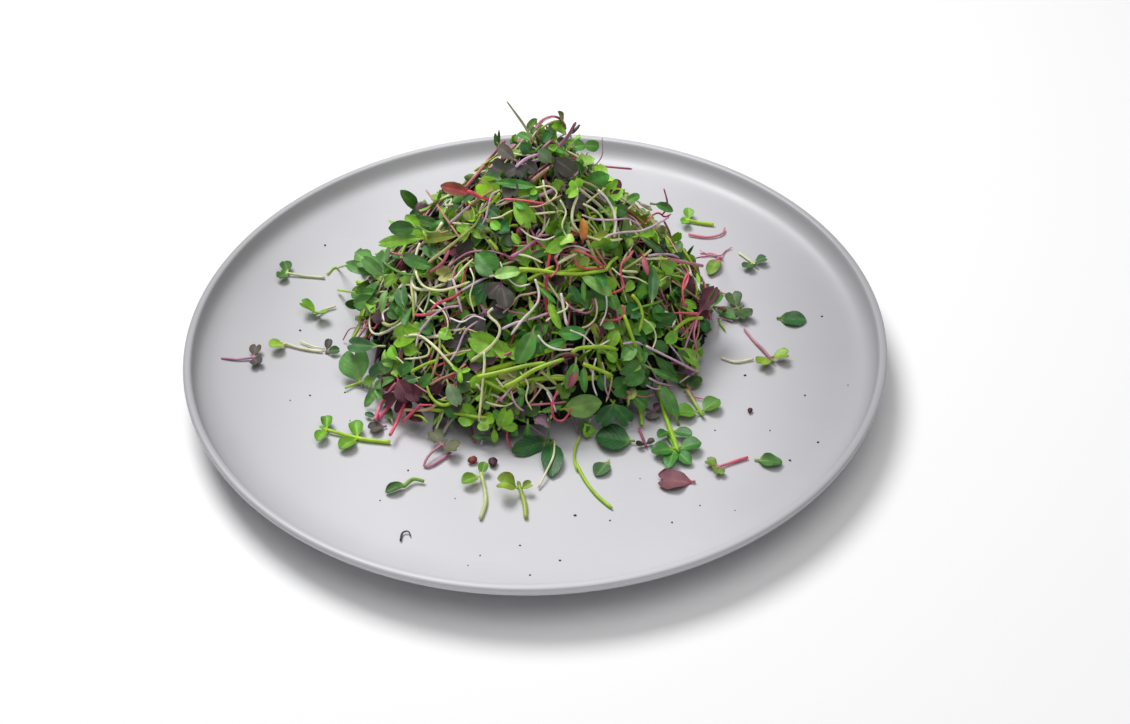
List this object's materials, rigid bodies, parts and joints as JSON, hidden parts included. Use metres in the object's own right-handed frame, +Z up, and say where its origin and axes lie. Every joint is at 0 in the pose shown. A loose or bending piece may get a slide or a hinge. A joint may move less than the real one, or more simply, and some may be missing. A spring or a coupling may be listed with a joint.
{
  "type": "plate of mixed microgreens",
  "caption": "Loose conical heap of cut mixed microgreens on a round shallow rimmed plate, with single sprouts, leaves and seed hulls scattered around it",
  "frame": {"origin": "centre of the box of the whole object, on the table plane under the plate's foot", "axes": "+Z up along the plate's axis; -Y faces the camera in the picture; +X to its right"},
  "size_m": [0.27, 0.27, 0.1173],
  "materials": {
    "plate_grey": "satin",
    "heap_green": "matte",
    "leaf_green": "satin",
    "leaf_dark": "satin",
    "leaf_grey_purple": "satin",
    "leaf_purple": "satin",
    "stem_lime": "satin",
    "stem_pink": "satin",
    "stem_cream": "satin",
    "hull_brown": "matte"
  },
  "bodies": {
    "root": {"plate": "plate_grey", "sprout_heap": "heap_green", "bud_left": "leaf_grey_purple", "hull_dark": "hull_brown", "hull_red": "hull_brown", "leaf_bit_right": "leaf_dark", "leaf_curled_front": "leaf_dark", "leaf_grey_front_right": "leaf_dark", "leaf_heart_front": "leaf_green", "leaf_heart_left": "leaf_dark", "leaf_left_edge": "leaf_dark", "leaf_oval_front_a": "leaf_dark", "leaf_oval_front_b": "leaf_dark", "leaf_oval_right": "leaf_dark", "leaf_pea_mid": "leaf_dark", "leaf_pea_right": "leaf_dark", "leaf_purple_right": "leaf_purple", "leaf_red_top_left": "leaf_purple", "leaf_round_front_right": "leaf_dark", "pair_grey_mid": "leaf_grey_purple", "pair_grey_top": "leaf_grey_purple", "pair_grey_top_right": "leaf_grey_purple", "pea_chain_right": "stem_lime", "pea_shoot_back": "stem_lime", "pea_shoot_left": "stem_lime", "pea_stem_front": "stem_lime", "pea_stem_front_low": "stem_lime", "pea_stem_mid": "stem_lime", "root_wisp": "hull_brown", "seed_right": "hull_brown", "spike_top": "stem_cream", "sprout_arrow_front": "leaf_green", "sprout_back_long": "leaf_green", "sprout_back_right": "leaf_dark", "sprout_bright_right": "leaf_green", "sprout_burgundy_right": "leaf_purple", "sprout_clover_right": "leaf_dark", "sprout_edge_right": "leaf_dark", "sprout_far_left": "leaf_dark", "sprout_folded_front": "leaf_green", "sprout_hull_right": "stem_pink", "sprout_left_curled": "leaf_green", "sprout_left_pale": "stem_cream", "sprout_left_purple": "leaf_grey_purple", "sprout_lobed_left": "leaf_green", "sprout_pink_loop": "stem_pink", "sprout_purple_left": "leaf_purple", "sprout_right": "leaf_green", "sprout_small_right": "stem_pink", "stem_brown_left": "stem_pink", "stem_cream_curl": "stem_cream", "stem_cream_left": "stem_cream", "stem_cream_top": "stem_cream", "stem_lime_front": "stem_lime", "stem_pale_front": "stem_cream", "stem_pale_right": "stem_cream", "stem_pink_back": "stem_pink", "stem_purple_top": "stem_pink", "stem_red_mid": "stem_pink"}
  },
  "joints": []
}
